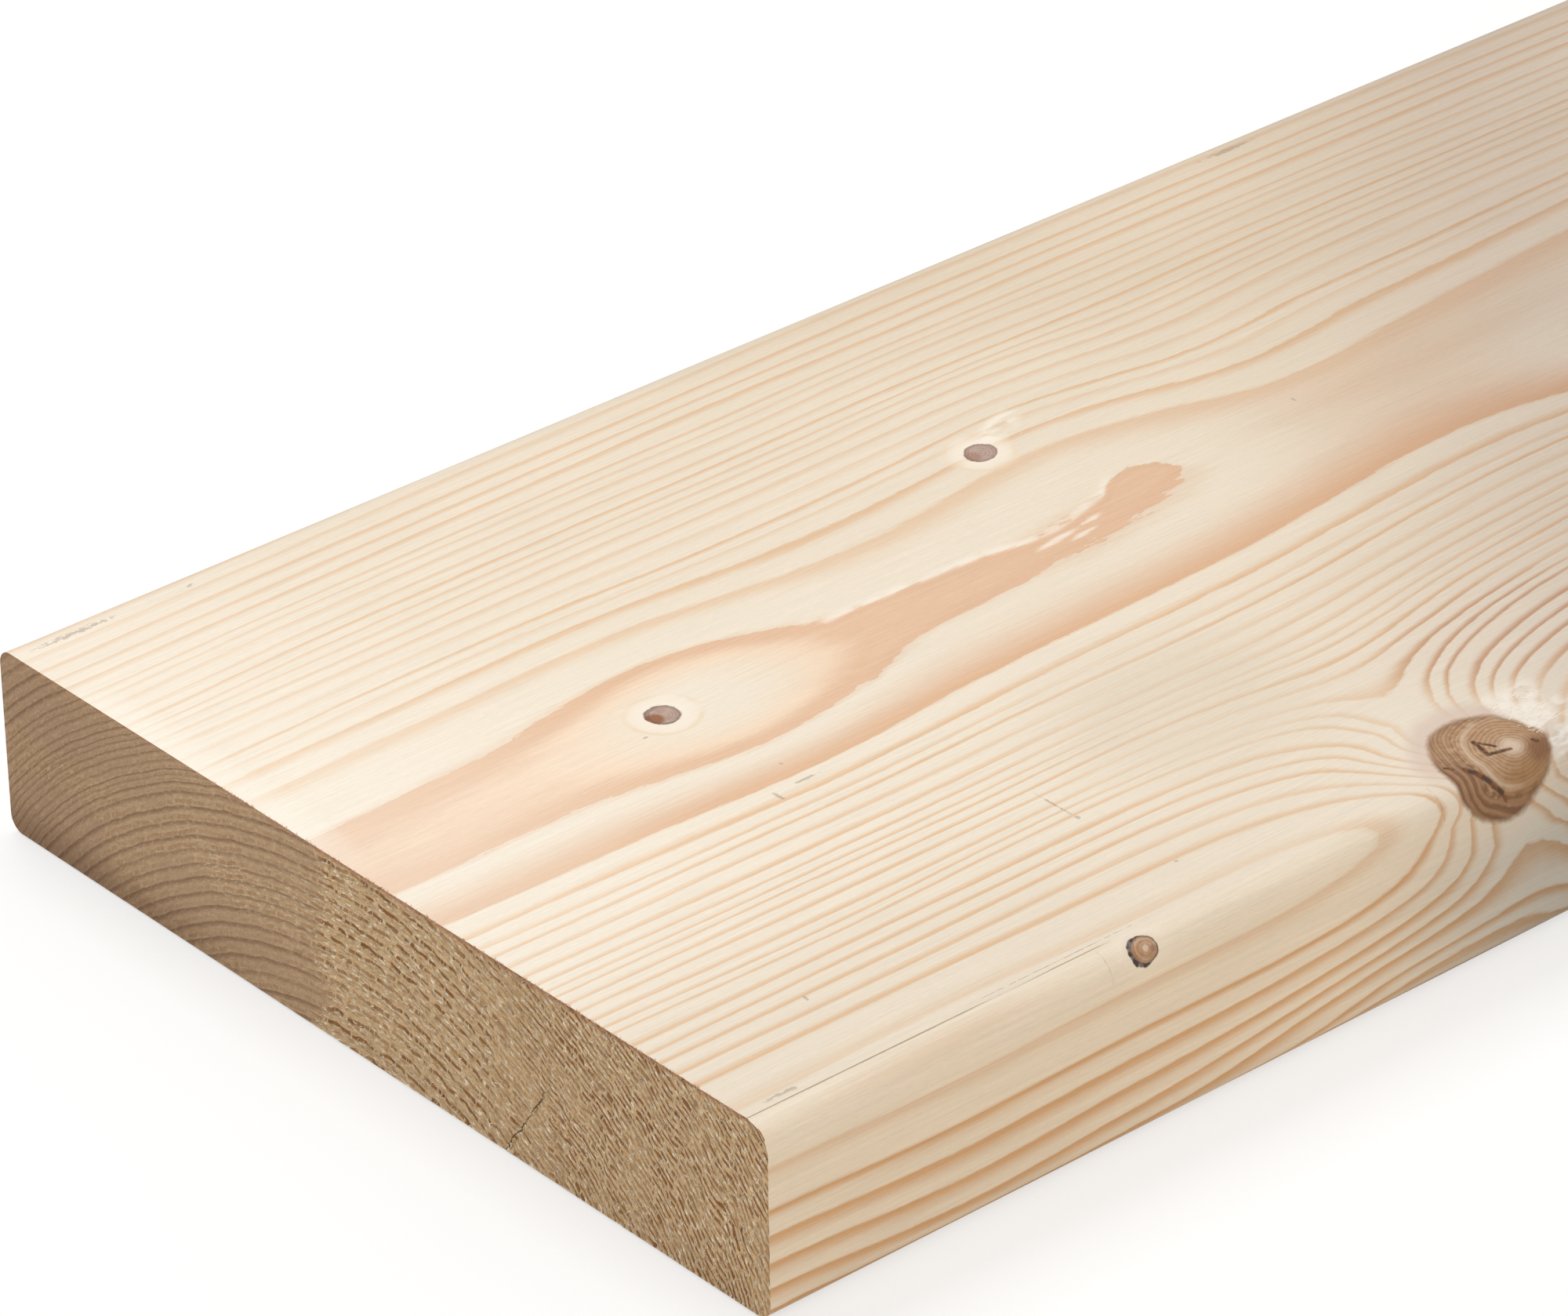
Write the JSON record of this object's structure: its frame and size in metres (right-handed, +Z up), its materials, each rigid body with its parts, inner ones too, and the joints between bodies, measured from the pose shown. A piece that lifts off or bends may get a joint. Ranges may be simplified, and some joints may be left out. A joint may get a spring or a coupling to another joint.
{
  "type": "timber plank",
  "caption": "Planed softwood plank with eased long edges and square sawn ends, flat-sawn and knotty, used as boarding, shelving and general building timber.",
  "frame": {"origin": "middle of the bottom face, on the floor the plank lies on", "axes": "+X along the grain from the near sawn end to the far one, +Y across the width from the front edge to the back edge, +Z up through the thickness"},
  "size_m": [1.8, 0.195, 0.035],
  "materials": {
    "softwood": "matte"
  },
  "bodies": {
    "root": {"plank": "softwood"}
  },
  "joints": []
}
